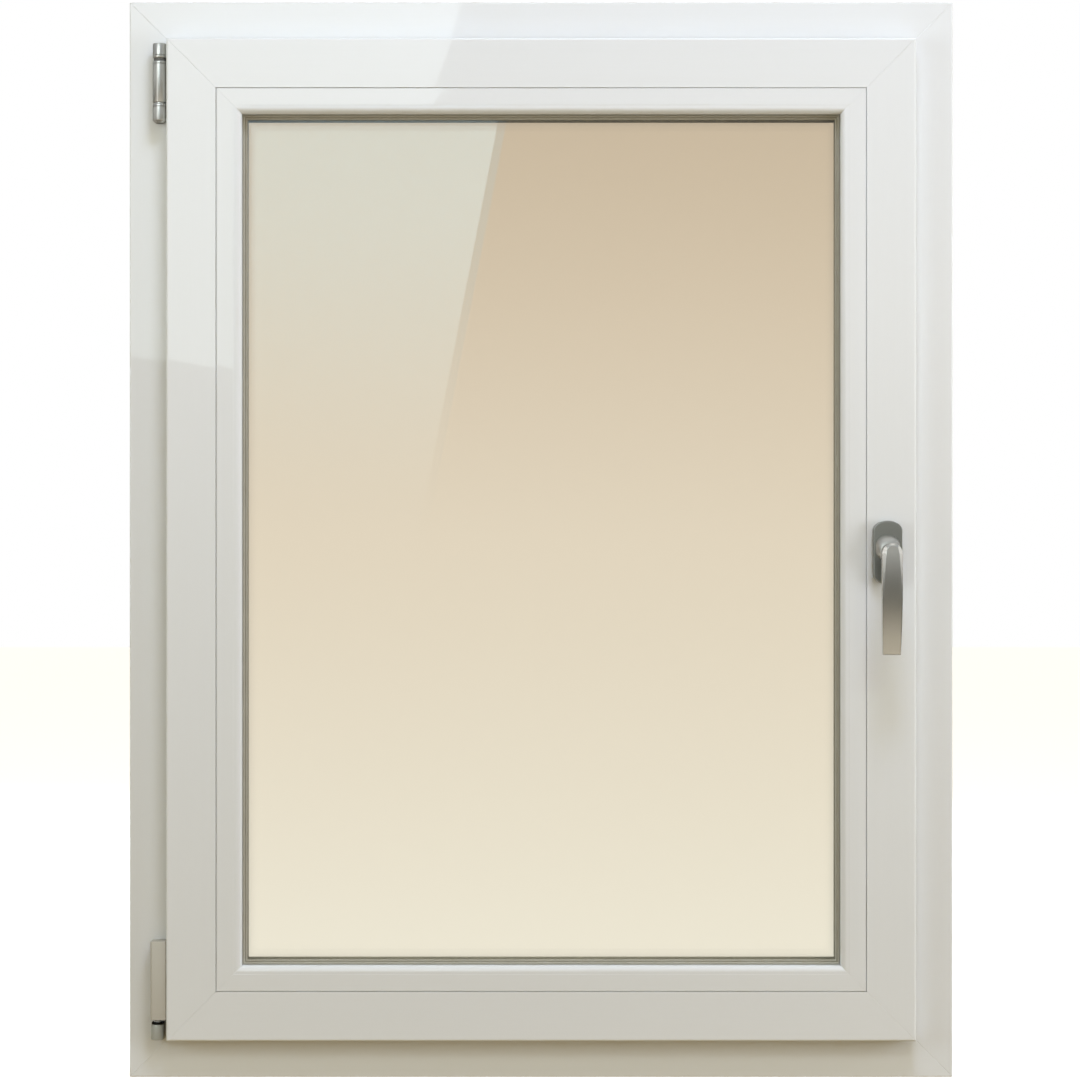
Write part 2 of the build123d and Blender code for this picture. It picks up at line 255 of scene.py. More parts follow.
def add_to(bm, other):
    """Adds one bmesh's shape to another and lets it go."""
    face_outwards(other)
    passing = bpy.data.meshes.new("passing")
    other.to_mesh(passing)
    other.free()
    bm.from_mesh(passing)
    bpy.data.meshes.remove(passing)


# Mitred members

half_width = frame_width / 2
sides = {
    "bottom": (Vector((-half_width, 0, 0)), right, up, frame_width),
    "lock": (Vector((half_width, 0, 0)), up, -right, frame_height),
    "top": (Vector((half_width, 0, frame_height)), -right, -up, frame_width),
    "hinge": (Vector((-half_width, 0, frame_height)), -up, right, frame_height),
}
overrun = 0.002


def mitred_member(corners, side, groove=None):
    """One side of a rectangular frame from its profile, cut at 45 degrees at both ends.
    With a groove the ends are closed, and their rims are chamfered by that much."""
    start, along, inward, length = sides[side]
    bm = bmesh.new()
    first = start - along * overrun
    outline(bm, corners, lambda a, b: first + inward * a + room * b)
    extrude_faces(bm, bm.faces[:], along * (length + 2 * overrun))
    for point, away in ((start, -along), (start + along * length, along)):
        rim = cut(bm, point, inward + away)
        if groove:
            cap = faces_of(bmesh.ops.contextual_create(bm, geom=rim)["faces"])
            round_edges(bm, list(cap[0].edges), groove, segments=1, clamp=True)
    return bm


def bore_across(bm, height):
    """A round anchor hole through a jamb, from its outer face into the rebate."""
    centre = Vector((0, -anchor_room, height))
    for direction in (-room, up):
        for sign in (-1, 1):
            cut(bm, centre + direction * sign * anchor_field, direction * sign, keep_both=True)

    def is_field(face):
        middle = face.calc_center_median()
        off_centre = math.hypot(middle.y - centre.y, middle.z - centre.z)
        return abs(face.normal.x) > 0.99 and off_centre < merge_distance

    fields = [face for face in bm.faces if is_field(face)]
    rims = []
    for field in fields:
        border = list(field.edges)
        depth = field.calc_center_median().x
        normal = field.normal.copy()
        before = set(bm.edges)
        bmesh.ops.create_circle(
            bm,
            segments=32,
            radius=anchor_hole_radius,
            matrix=Matrix.Translation((depth, centre.y, centre.z))
            @ Matrix.Rotation(quarter_turn, 4, "Y"),
        )
        rim = [edge for edge in bm.edges if edge not in before]
        bmesh.ops.delete(bm, geom=[field], context="FACES_ONLY")
        bmesh.ops.triangle_fill(bm, edges=border + rim, use_beauty=True, normal=normal)
        rims += rim
    bmesh.ops.bridge_loops(bm, edges=rims)
    face_outwards(bm)


def closed_ring(corners):
    """Four mitred members of one profile, joined at their corners."""
    ring = bmesh.new()
    for side in sides:
        add_to(ring, mitred_member(corners, side))
    return ring


def back_groove(centre):
    """A groove in the frame's outer face, where sill and extension profiles clip on."""
    room_side = centre + back_groove_width / 2
    far_side = centre - back_groove_width / 2
    return [
        (0, room_side, 0.0003),
        (back_groove_depth, room_side, 0),
        (back_groove_depth, far_side, 0),
        (0, far_side, 0.0003),
    ]


frame_profile = [
    (0, frame_outside, frame_edge_round),
    (lip_top - lip_slope, frame_outside, lip_edge_round),
    (lip_top, frame_outside + lip_thickness, lip_edge_round),
    (frame_face, frame_outside + lip_thickness, 0),
    (frame_face, frame_room, frame_edge_round),
    (0, frame_room, frame_edge_round),
    *back_groove(back_groove_offset),
    *back_groove(-back_groove_offset),
]

sash_profile = [
    (sash_edge, flange_back, bead_edge_round),
    (sash_edge, sash_room, sash_edge_round),
    (bead_joint, sash_room, bead_edge_round),
    (bead_joint, leg_room, 0),
    (sightline, leg_room, sash_leg_round),
    (sightline - sash_leg_slope, sash_outside, sash_leg_round),
    (sash_body, sash_outside, sash_leg_round),
    (sash_body, flange_back, 0),
]

# The bead's face ends in a shallow step and then rounds over towards the glass.
bead_step = 0.00015
bead_step_at = sightline - bead_round - 0.0025
bead_profile = [
    (bead_joint, bead_back, 0),
    (sightline, bead_back, bead_edge_round),
    (sightline, sash_room - bead_step, bead_round),
    (bead_step_at, sash_room - bead_step, 0),
    (bead_step_at - bead_step, sash_room, 0),
    (bead_joint + joint_groove_width, sash_room, bead_edge_round),
    (bead_joint + joint_groove_width, sash_room - joint_groove_depth, 0),
    (bead_joint, sash_room - joint_groove_depth, 0),
]


# Materials

def add(tree, kind, inputs=None, **settings):
    """A node with its settings and its sockets' plain values."""
    made = tree.nodes.new(kind)
    for name, value in settings.items():
        setattr(made, name, value)
    for name, value in (inputs or {}).items():
        made.inputs[name].default_value = value
    return made


def join(tree, source, output, target, inlet):
    tree.links.new(source.outputs[output], target.inputs[inlet])


def feed(tree, source, inlet):
    """Links an outlet to an inlet, or sets the inlet to a plain colour."""
    if isinstance(source, tuple):
        inlet.default_value = (*source, 1)
    else:
        tree.links.new(source, inlet)


def mix_colours(tree, share, first, second):
    """Goes from the first colour to the second. A colour is plain or comes from an outlet."""
    mix = add(tree, "ShaderNodeMix", data_type="RGBA")
    tree.links.new(share, mix.inputs[0])
    feed(tree, first, mix.inputs[6])
    feed(tree, second, mix.inputs[7])
    return mix.outputs[2]


def new_group(name, inlets, outlets):
    """A shader node group with its inputs and outputs."""
    group = bpy.data.node_groups.new(name, "ShaderNodeTree")
    for title, kind, value in inlets:
        socket = group.interface.new_socket(title, in_out="INPUT", socket_type=kind)
        if value is not None:
            socket.default_value = value
    for title, kind in outlets:
        group.interface.new_socket(title, in_out="OUTPUT", socket_type=kind)
    return group, add(group, "NodeGroupInput"), add(group, "NodeGroupOutput")


NUMBER = "NodeSocketFloat"
COLOUR = "NodeSocketColor"
VECTOR = "NodeSocketVector"


def build_surface_grain():
    """Grain drawn out along one direction: a colour, a roughness and a height."""
    group, given, result = new_group(
        "surface_grain",
        [
            ("Place", VECTOR, None),
            ("Grain", NUMBER, 900.0),
            ("Clouds", NUMBER, 9.0),
            ("Light Colour", COLOUR, None),
            ("Dark Colour", COLOUR, None),
            ("Least Roughness", NUMBER, 0.2),
            ("Most Roughness", NUMBER, 0.3),
        ],
        [("Colour", COLOUR), ("Roughness", NUMBER), ("Height", NUMBER)],
    )
    fine_share = 0.4
    fine = add(group, "ShaderNodeTexNoise", {"Detail": 3.0, "Roughness": 0.6})
    cloud = add(group, "ShaderNodeTexNoise", {"Detail": 2.0, "Roughness": 0.5})
    join(group, given, "Place", fine, "Vector")
    join(group, given, "Grain", fine, "Scale")
    join(group, given, "Place", cloud, "Vector")
    join(group, given, "Clouds", cloud, "Scale")
    both = add(group, "ShaderNodeMath", {1: fine_share}, operation="MULTIPLY_ADD")
    join(group, fine, "Fac", both, 0)
    share = add(group, "ShaderNodeMath", {1: 1 - fine_share}, operation="MULTIPLY")
    join(group, cloud, "Fac", share, 0)
    join(group, share, "Value", both, 2)
    colours = given.outputs["Dark Colour"], given.outputs["Light Colour"]
    tone = mix_colours(group, both.outputs["Value"], *colours)
    gloss = add(group, "ShaderNodeMapRange", {"From Min": 0.3, "From Max": 0.7})
    join(group, both, "Value", gloss, "Value")
    join(group, given, "Least Roughness", gloss, "To Min")
    join(group, given, "Most Roughness", gloss, "To Max")
    group.links.new(tone, result.inputs["Colour"])
    join(group, gloss, "Result", result, "Roughness")
    join(group, fine, "Fac", result, "Height")
    return group


# Edge polish and a painted highlight: a mask that lightens colour along outer edges.
def build_edge_polish_and_highlight():
    """Where a surface turns sharply: 1 on outer edges, 0 on flat faces."""
    group, given, result = new_group(
        "edge_polish_and_highlight",
        [("Width", NUMBER, 0.06), ("Strength", NUMBER, 1.0)],
        [("Mask", NUMBER)],
    )
    flat = 0.5
    shape = add(group, "ShaderNodeNewGeometry")
    top = add(group, "ShaderNodeMath", {0: flat}, operation="ADD")
    join(group, given, "Width", top, 1)
    band = add(group, "ShaderNodeMapRange", {"From Min": flat})
    join(group, shape, "Pointiness", band, "Value")
    join(group, top, "Value", band, "From Max")
    join(group, given, "Strength", band, "To Max")
    join(group, band, "Result", result, "Mask")
    return group


surface_grain = build_surface_grain()
edge_polish_and_highlight = build_edge_polish_and_highlight()


def new_material(name):
    material = bpy.data.materials.new(name)
    material.use_nodes = True
    tree = material.node_tree
    return material, tree, tree.nodes["Principled BSDF"]


def place_on_piece(tree, stretch):
    """Object coordinates, squeezed along the direction that the grain follows."""
    place = add(tree, "ShaderNodeTexCoord")
    mapping = add(tree, "ShaderNodeMapping", {"Scale": stretch})
    join(tree, place, "Object", mapping, "Vector")
    return mapping


def grained(name, light, dark, gloss, grain, clouds, stretch, bump, **shader):
    """A material with drawn-out grain. Shader values that stay the same are set directly."""
    material, tree, principled = new_material(name)
    mapping = place_on_piece(tree, stretch)
    values = {
        "Grain": grain,
        "Clouds": clouds,
        "Light Colour": (*light, 1),
        "Dark Colour": (*dark, 1),
        "Least Roughness": gloss[0],
        "Most Roughness": gloss[1],
    }
    effect = add(tree, "ShaderNodeGroup", values, node_tree=surface_grain)
    join(tree, mapping, "Vector", effect, "Place")
    relief = add(tree, "ShaderNodeBump", {"Strength": bump[0], "Distance": bump[1]})
    join(tree, effect, "Height", relief, "Height")
    join(tree, effect, "Colour", principled, "Base Color")
    join(tree, effect, "Roughness", principled, "Roughness")
    join(tree, relief, "Normal", principled, "Normal")
    for title, value in shader.items():
        principled.inputs[title.replace("_", " ")].default_value = value
    return material, tree, principled, effect


def paint_edge_polish_and_highlight(tree, principled, effect, colour, width, strength):
    """Lightens a grained material's colour along its outer edges, as polish and a painted
    highlight.
    """
    values = {"Width": width, "Strength": strength}
    edges = add(tree, "ShaderNodeGroup", values, node_tree=edge_polish_and_highlight)
    tone = mix_colours(tree, edges.outputs["Mask"], effect.outputs["Colour"], colour)
    tree.links.new(tone, principled.inputs["Base Color"])


along_x = (0.03, 1, 1)
along_z = (1, 1, 0.03)
all_ways = (1, 1, 1)


def white_plastic(name, stretch):
    """Glossy white window plastic, with faint lines along the extrusion."""
    return grained(
        name,
        light=(0.83, 0.842, 0.842),
        dark=(0.795, 0.807, 0.807),
        gloss=(0.008, 0.02),
        grain=700.0,
        clouds=6.0,
        stretch=stretch,
        bump=(0.01, 0.0001),
    )[0]


plastic_level = white_plastic("white_plastic_level", along_x)
plastic_upright = white_plastic("white_plastic_upright", along_z)
plastic_moulded = white_plastic("white_plastic_moulded", all_ways)


def moulded(name, light, dark, gloss, grain, clouds, bump, **shader):
    """A moulded material, with the same grain in every direction."""
    return grained(name, light, dark, gloss, grain, clouds, all_ways, bump, **shader)[0]


def rubber(name, light, dark):
    """Soft seal rubber with a fine matt skin."""
    return moulded(
        name, light, dark, gloss=(0.30, 0.42), grain=2400.0, clouds=60.0, bump=(0.25, 0.0003)
    )


seal_rubber = rubber("seal_rubber", (0.46, 0.435, 0.355), (0.34, 0.32, 0.26))
outside_rubber = rubber("outside_rubber", (0.60, 0.535, 0.40), (0.50, 0.445, 0.335))

edge_butyl = moulded(
    "edge_butyl",
    light=(0.035, 0.035, 0.036),
    dark=(0.015, 0.015, 0.016),
    gloss=(0.55, 0.8),
    grain=900.0,
    clouds=40.0,
    bump=(0.4, 0.0006),
)

washer_plastic = moulded(
    "washer_plastic",
    light=(0.15, 0.15, 0.14),
    dark=(0.11, 0.11, 0.105),
    gloss=(0.4, 0.55),
    grain=1200.0,
    clouds=40.0,
    bump=(0.2, 0.0002),
)

# Near-black plastic for the hinge band. Its bush and barrel also stand for the painted shade in
# the gap under the cover.
black_bush_and_gap_shade = moulded(
    "black_bush_and_gap_shade",
    light=(0.012, 0.012, 0.011),
    dark=(0.006, 0.006, 0.006),
    gloss=(0.7, 0.85),
    grain=1200.0,
    clouds=40.0,
    bump=(0.2, 0.0002),
    Specular_IOR_Level=0.05,
)

spacer_bar = moulded(
    "spacer_bar",
    light=(0.34, 0.34, 0.33),
    dark=(0.22, 0.22, 0.215),
    gloss=(0.4, 0.55),
    grain=1500.0,
    clouds=50.0,
    bump=(0.3, 0.0003),
)

block_plastic = moulded(
    "block_plastic",
    light=(0.30, 0.32, 0.35),
    dark=(0.24, 0.26, 0.29),
    gloss=(0.4, 0.55),
    grain=1200.0,
    clouds=30.0,
    bump=(0.2, 0.0003),
)


def satin_metal(name, light, dark, gloss, stretch, edge, metal=1.0, grazing=1.0):
    """Brushed and lacquered metal, painted a little brighter along its edges as polish and a
    highlight.
    A low grazing value darkens it where its surface turns away, as painted shade at its sides."""
    material, tree, principled, effect = grained(
        name,
        light=light,
        dark=dark,
        gloss=gloss,
        grain=1600.0,
        clouds=35.0,
        stretch=stretch,
        bump=(0.18, 0.00012),
        Metallic=metal,
        Specular_Tint=(grazing, grazing, grazing, 1),
    )
    # Painted highlight and polish along the edges.
    paint_edge_polish_and_highlight(tree, principled, effect, edge, width=0.08, strength=0.5)
    return material


# The lever's neck is matt and its grip is brushed: the change lies behind the grip.
neck_gloss = 0.44
matt_from = 0.0985
matt_to = 0.0965


def matt_behind(material):
    """Makes a metal matt where it is nearer the sash than the grip's back."""
    tree = material.node_tree
    principled = tree.nodes["Principled BSDF"]
    brushed = principled.inputs["Roughness"].links[0].from_socket
    place = add(tree, "ShaderNodeTexCoord")
    split = add(tree, "ShaderNodeSeparateXYZ")
    join(tree, place, "Object", split, "Vector")
    share = add(tree, "ShaderNodeMapRange", {"From Min": -matt_from, "From Max": -matt_to})
    join(tree, split, "Y", share, "Value")
    gloss = add(tree, "ShaderNodeMix", data_type="FLOAT")
    gloss.inputs[3].default_value = neck_gloss
    join(tree, share, "Result", gloss, 0)
    tree.links.new(brushed, gloss.inputs[2])
    join(tree, gloss, 0, principled, "Roughness")


lever_metal = satin_metal(
    "lever_metal",
    light=(0.56, 0.55, 0.52),
    dark=(0.49, 0.48, 0.45),
    gloss=(0.18, 0.24),
    stretch=along_z,
    edge=(0.66, 0.65, 0.62),
)
matt_behind(lever_metal)
rosette_metal = satin_metal(
    "rosette_metal",
    light=(0.30, 0.30, 0.275),
    dark=(0.24, 0.24, 0.22),
    gloss=(0.30, 0.40),
    stretch=along_x,
    edge=(0.56, 0.56, 0.53),
)
hinge_metal = satin_metal(
    "hinge_metal",
    light=(0.60, 0.595, 0.57),
    dark=(0.50, 0.495, 0.47),
    gloss=(0.24, 0.33),
    stretch=along_z,
    edge=(0.78, 0.77, 0.74),
    # A low grazing value: painted shade along the barrels' sides.
    grazing=0.1,
)
cover_metal = satin_metal(
    "cover_metal",
    light=(0.47, 0.435, 0.37),
    dark=(0.41, 0.38, 0.32),
    gloss=(0.38, 0.5),
    stretch=along_z,
    edge=(0.55, 0.51, 0.44),
    metal=0.35,
)
corner_metal = satin_metal(
    "corner_metal",
    light=(0.42, 0.42, 0.37),
    dark=(0.34, 0.34, 0.30),
    gloss=(0.42, 0.55),
    stretch=along_z,
    edge=(0.5, 0.5, 0.45),
    metal=0.6,
)
pin_steel = satin_metal(
    "pin_steel",
    light=(0.5, 0.5, 0.49),
    dark=(0.38, 0.38, 0.37),
    gloss=(0.22, 0.3),
    stretch=all_ways,
    edge=(0.7, 0.7, 0.69),
)


def clear_glass(name, tint_low, tint_high):
    """Clear float glass with a faint warm tint and a weak shadow. The tint deepening upwards is
    painted shade.
    """
    material, tree, principled = new_material(name)
    principled.inputs["Transmission Weight"].default_value = 1.0
    principled.inputs["Roughness"].default_value = 0.0
    principled.inputs["IOR"].default_value = 1.5
    mapping = place_on_piece(tree, all_ways)
    height = add(tree, "ShaderNodeSeparateXYZ")
    join(tree, mapping, "Vector", height, "Vector")
    pane_span = {"From Min": sightline, "From Max": frame_height - sightline}
    rise = add(tree, "ShaderNodeMapRange", pane_span)
    join(tree, height, "Z", rise, "Value")
    clouds = add(tree, "ShaderNodeTexNoise", {"Scale": 2.2, "Detail": 1.0})
    join(tree, mapping, "Vector", clouds, "Vector")
    drift = add(tree, "ShaderNodeMath", {1: 0.12}, operation="MULTIPLY_ADD")
    join(tree, clouds, "Fac", drift, 0)
    join(tree, rise, "Result", drift, 2)
    # Painted shade: the warm tint deepens towards the top of the panes.
    tint = mix_colours(tree, drift.outputs["Value"], tint_low, tint_high)
    tree.links.new(tint, principled.inputs["Base Color"])
    through = add(tree, "ShaderNodeBsdfTransparent", {"Color": (0.93, 0.93, 0.92, 1)})
    rays = add(tree, "ShaderNodeLightPath")
    mix = add(tree, "ShaderNodeMixShader")
    join(tree, rays, "Is Shadow Ray", mix, 0)
    join(tree, principled, "BSDF", mix, 1)
    join(tree, through, "BSDF", mix, 2)
    join(tree, mix, "Shader", tree.nodes["Material Output"], "Surface")
    return material


pane_glass = clear_glass("pane_glass", (0.985, 0.975, 0.955), (0.97, 0.945, 0.90))


# Frame, sash and beads

member_materials = {
    "bottom": plastic_level,
    "top": plastic_level,
    "hinge": plastic_upright,
    "lock": plastic_upright,
}

frame_names = {
    "bottom": ("sill_profile", "frame_sill"),
    "top": ("head_profile", "frame_head"),
    "hinge": ("hinge_jamb_profile", "frame_jamb_hinge"),
    "lock": ("lock_jamb_profile", "frame_jamb_lock"),
}
sash_names = {
    "bottom": ("sash_bottom_profile", "sash_bottom_rail"),
    "top": ("sash_top_profile", "sash_top_rail"),
    "hinge": ("hinge_stile_profile", "sash_stile_hinge"),
    "lock": ("lock_stile_profile", "sash_stile_lock"),
}
bead_names = {
    "bottom": ("glazing_bead_bottom", "bead_bottom"),
    "top": ("glazing_bead_top", "bead_top"),
    "hinge": ("glazing_bead_hinge_side", "bead_hinge_side"),
    "lock": ("glazing_bead_lock_side", "bead_lock_side"),
}

for profile, names, groove in (
    (frame_profile, frame_names, weld_groove),
    (sash_profile, sash_names, weld_groove),
    (bead_profile, bead_names, bead_mitre_groove),
):
    for side, (name, node) in names.items():
        bm = mitred_member(profile, side, groove)
        if names is frame_names and side in ("hinge", "lock"):
            bore_across(bm, anchor_from_end)
            bore_across(bm, frame_height - anchor_from_end)
        weigh_normals(
            finish_piece(bm, name, member_materials[side], node)
        )


# Seals: closed rings with ribs and lips

def seal_ring(name, corners, node, material=seal_rubber):
    """One seal that runs round the window with mitred corners."""
    weigh_normals(finish_piece(closed_ring(corners), name, material, node))


# The bead's seal shows a rounded foot, a groove and a lip that lies on the glass.
seal_ring(
    "bead_seal_lip",
    [
        (seal_root, glass_room, 0),
        (bead_seal_lip, glass_room, 0.0003),
        (bead_seal_lip - 0.0004, glass_room + 0.0011, 0.0004),
        (bead_seal_lip - 0.0018, glass_room + 0.0016, 0),
        (bead_seal_lip - 0.0024, glass_room + 0.0009, 0),
        (bead_seal_lip - 0.0031, glass_room + 0.0022, 0.0004),
        (sightline + 0.0006, bead_back - 0.0001, 0.0004),
        (sightline + 0.0002, bead_back - 0.0006, 0),
        (seal_root, bead_back - 0.0001, 0),
    ],
    "bead_seal",
)

seal_ring(
    "outside_glass_seal",
    [
        (seal_root, leg_room, 0),
        (sightline + 0.0004, leg_room, 0),
        (sightline + 0.0009, leg_room + 0.0002, 0.0003),
        (outside_seal_lip - 0.0004, glass_outside - 0.0012, 0.0003),
        (outside_seal_lip, glass_outside - seal_contact, 0.0002),
        (seal_root, glass_outside - seal_contact, 0),
    ],
    "glazing_seal_outside",
    outside_rubber,
)

overlap_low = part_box("sash_seal")[0].z
overlap_high = frame_face - (overlap_low - sash_edge)
seal_ring(
    "overlap_seal",
    [
        (overlap_low, frame_room, 0.0006),
        (overlap_low + 0.0030, frame_room, 0.0006),
        (overlap_low + 0.0036, frame_room + 0.0014, 0),
        (overlap_high, frame_room + 0.0020, 0.0004),
        (overlap_high, flange_back, 0),
        (overlap_low + 0.0008, flange_back, 0),
        (overlap_low, flange_back - 0.0014, 0.0004),
    ],
    "sash_seal",
)

stop_low = frame_outside + lip_thickness
stop_seal_top = lip_top - 0.003
stop_seal_bottom = stop_seal_top - 0.006
seal_ring(
    "stop_seal",
    [
        (stop_seal_bottom, stop_low, 0),
        (stop_seal_top, stop_low, 0.0005),
        (stop_seal_top - 0.0008, stop_low + 0.0026, 0.0006),
        (stop_seal_top - 0.0032, sash_outside, 0.0006),
        (stop_seal_bottom, stop_low + 0.0022, 0.0005),
    ],
    "frame_seal",
)


# Turned pieces

def turned(bm, profile, axis_at):
    """Adds a solid of revolution about an upright axis, from (radius, height, rounding)
    corners that start and end on the axis."""
    centre = Vector(axis_at)
    half = bmesh.new()
    outline(half, profile, lambda a, b: centre + right * a + up * b)
    bmesh.ops.delete(half, geom=half.faces[:], context="FACES_ONLY")
    on_axis = [
        edge
        for edge in half.edges
        if all(abs(vert.co.x - centre.x) < merge_distance for vert in edge.verts)
    ]
    bmesh.ops.delete(half, geom=on_axis, context="EDGES")
    bmesh.ops.spin(
        half,
        geom=half.verts[:] + half.edges[:],
        cent=centre,
        axis=up,
        dvec=(0, 0, 0),
        angle=2 * math.pi,
        steps=40,
        use_merge=True,
    )
    merge(half)
    add_to(bm, half)


def rounded_block(bm, low, high, radius, segments=3):
    """Adds a box with all its edges rounded."""
    low, high = Vector(low), Vector(high)
    cube = bmesh.new()
    bmesh.ops.create_cube(
        cube,
        size=1,
        matrix=Matrix.Translation((low + high) / 2) @ Matrix.Diagonal((*(high - low), 1)),
    )
    round_edges(cube, cube.edges[:], radius, segments)
    add_to(bm, cube)


# Top hinge

eye_low, eye_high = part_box("top_hinge_stay_eye")
bearing_low, bearing_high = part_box("top_hinge_bearing")
pin_low, pin_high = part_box("top_hinge_pin")
washer_low, washer_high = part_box("top_hinge_washer")
hinge_radius = (pin_high.x - pin_low.x) / 2
hinge_axis = Vector(((pin_low.x + pin_high.x) / 2, (pin_low.y + pin_high.y) / 2, 0))
washer_radius = (washer_high.x - washer_low.x) / 2
hinge_edge_round = 0.0008
arm_round = 0.0006
eye_arm_half = 0.003
sleeve_arm_half = 0.005
ring_width = 0.0009
ring_depth = 0.0004
washer_round = 0.0005
pin_cap_top = pin_low.z + 0.020
pin_cap_chamfer = 0.003
pin_cap_round = 0.0006
pin_cap_ring = pin_cap_top - 0.0028
pin_cap_ring_half = 0.0004
pin_cap_bore = 0.0055
pin_radius = 0.003
pin_round = 0.0005
eye_ring = eye_low.z + 0.0030
sleeve_ring = bearing_high.z - 0.0028


def ringed_barrel(bottom, top, ring_at):
    """A barrel's profile with rounded rims and a turned ring around it."""
    return [
        (0, bottom, 0),
        (hinge_radius, bottom, hinge_edge_round),
        (hinge_radius, ring_at - ring_width / 2, 0),
        (hinge_radius - ring_depth, ring_at, 0),
        (hinge_radius, ring_at + ring_width / 2, 0),
        (hinge_radius, top, hinge_edge_round),
        (0, top, 0),
    ]


def hinge_piece(name, node, profile, arm=None, material=hinge_metal):
    """A turned piece on the top hinge's axis, with an arm between two corners."""
    bm = bmesh.new()
    turned(bm, profile, hinge_axis)
    if arm:
        rounded_block(bm, *arm, arm_round)
    finish_piece(bm, name, material, node)


hinge_piece(
    "stay_eye",
    "top_hinge_stay_eye",
    ringed_barrel(eye_low.z, eye_high.z, eye_ring),
    arm=(
        (hinge_axis.x, hinge_axis.y - eye_arm_half, eye_low.z + hinge_edge_round),
        (eye_high.x, hinge_axis.y + eye_arm_half, eye_high.z - hinge_edge_round),
    ),
)
hinge_piece(
    "hinge_washer",
    "top_hinge_washer",
    [
        (0, washer_low.z, 0),
        (washer_radius, washer_low.z, washer_round),
        (washer_radius, washer_high.z, washer_round),
        (0, washer_high.z, 0),
    ],
    material=washer_plastic,
)
hinge_piece(
    "bearing_sleeve",
    "top_hinge_bearing",
    ringed_barrel(bearing_low.z, bearing_high.z, sleeve_ring),
    arm=(
        (hinge_axis.x - sleeve_arm_half, hinge_axis.y, bearing_low.z + hinge_edge_round),
        (hinge_axis.x + sleeve_arm_half, -frame_room, bearing_high.z - hinge_edge_round),
    ),
)
hinge_piece(
    "hinge_pin_cap",
    "top_hinge_pin",
    [
        (0, pin_low.z, 0),
        (hinge_radius - pin_cap_chamfer, pin_low.z, pin_cap_round),
        (hinge_radius, pin_low.z + pin_cap_chamfer, pin_cap_round),
        (hinge_radius, pin_cap_ring - pin_cap_ring_half, 0),
        (hinge_radius - ring_depth, pin_cap_ring, 0),
        (hinge_radius, pin_cap_ring + pin_cap_ring_half, 0),
        (hinge_radius, pin_cap_top, hinge_edge_round),
        (pin_cap_bore, pin_cap_top, 0),
        (pin_cap_bore, bearing_low.z, 0),
        (pin_radius, bearing_low.z, 0),
        (pin_radius, pin_high.z, pin_round),
        (0, pin_high.z, 0),
    ],
)


# Bottom hinge

cover_low, cover_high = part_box("bottom_hinge_cover")
corner_low, corner_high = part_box("bottom_hinge_bearing")
corner_pin_low, corner_pin_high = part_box("bottom_hinge_pin")
band_low, band_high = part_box("bottom_hinge_band")
corner_axis = Vector(
    ((corner_pin_low.x + corner_pin_high.x) / 2, (corner_pin_low.y + corner_pin_high.y) / 2, 0)
)

# The corner bearing has a rounded front, and flat cheeks that run back to the frame.
corner_radius = (corner_high.x - corner_low.x) / 2


def cheeked_block(bm, low, high, inset, rim):
    """Adds a block over the corner bearing's outline: a rounded front, and cheeks behind."""
    block = bmesh.new()
    middle_y = corner_low.y + corner_radius
    bmesh.ops.create_circle(
        block,
        cap_ends=True,
        segments=48,
        radius=corner_radius - inset,
        matrix=Matrix.Translation((corner_axis.x, middle_y, low)),
    )
    cheek = cut(block, (corner_axis.x, middle_y, 0), (0, 1, 0))
    stretched = bmesh.ops.extrude_edge_only(block, edges=cheek)["geom"]
    back = Vector((0, corner_high.y - inset - middle_y, 0))
    bmesh.ops.translate(block, verts=verts_of(stretched), vec=back)
    extrude_faces(block, block.faces[:], up * (high - low))
    merge(block)
    rims = [e for e in block.edges if e.is_manifold and e.calc_face_angle(0) > rim_angle]
    round_edges(block, rims, rim)
    add_to(bm, block)


bm = bmesh.new()
cheeked_block(bm, corner_low.z, corner_high.z, inset=0, rim=0.0009)
finish_piece(bm, "corner_bearing", corner_metal, "bottom_hinge_bearing")

# The band: a bush on the bearing, a barrel round the pin, a body in the cover and an arm
# to the sash.
bush_low = corner_high.z + 0.0001
bush_high = corner_high.z + 0.0016
barrel_radius = 0.0052
barrel_top = band_high.z - 0.001
barrel_round = 0.0007
cover_wall = 0.0015
cover_gap = 0.0003
cover_front_gap = 0.0004
band_foot = 0.0025
band_round = 0.0005
band_left = cover_low.x + cover_wall + cover_gap
band_right = cover_high.x - cover_wall - cover_gap
arm_low = band_low.z + 0.020
arm_high = arm_low + 0.040
arm_back = -flange_back - 0.002
arm_front = arm_back - 0.006
arm_overlap = 0.002
bm = bmesh.new()
cheeked_block(bm, bush_low, bush_high, inset=0.0005, rim=0.0003)
turned(
    bm,
    [
        (0, band_low.z, 0),
        (barrel_radius, band_low.z, barrel_round),
        (barrel_radius, barrel_top, barrel_round),
        (0, barrel_top, 0),
    ],
    corner_axis,
)
rounded_block(
    bm,
    (band_left, cover_low.y + cover_wall + cover_front_gap, band_low.z + band_foot),
    (band_right, band_high.y, band_high.z),
    band_round,
)
rounded_block(
    bm,
    (band_right - arm_overlap, arm_front, arm_low),
    (band_high.x, arm_back, arm_high),
    band_round,
)
# Near-black: black plastic, and painted shade in the gap under the cover.
finish_piece(bm, "corner_band", black_bush_and_gap_shade, "bottom_hinge_band")

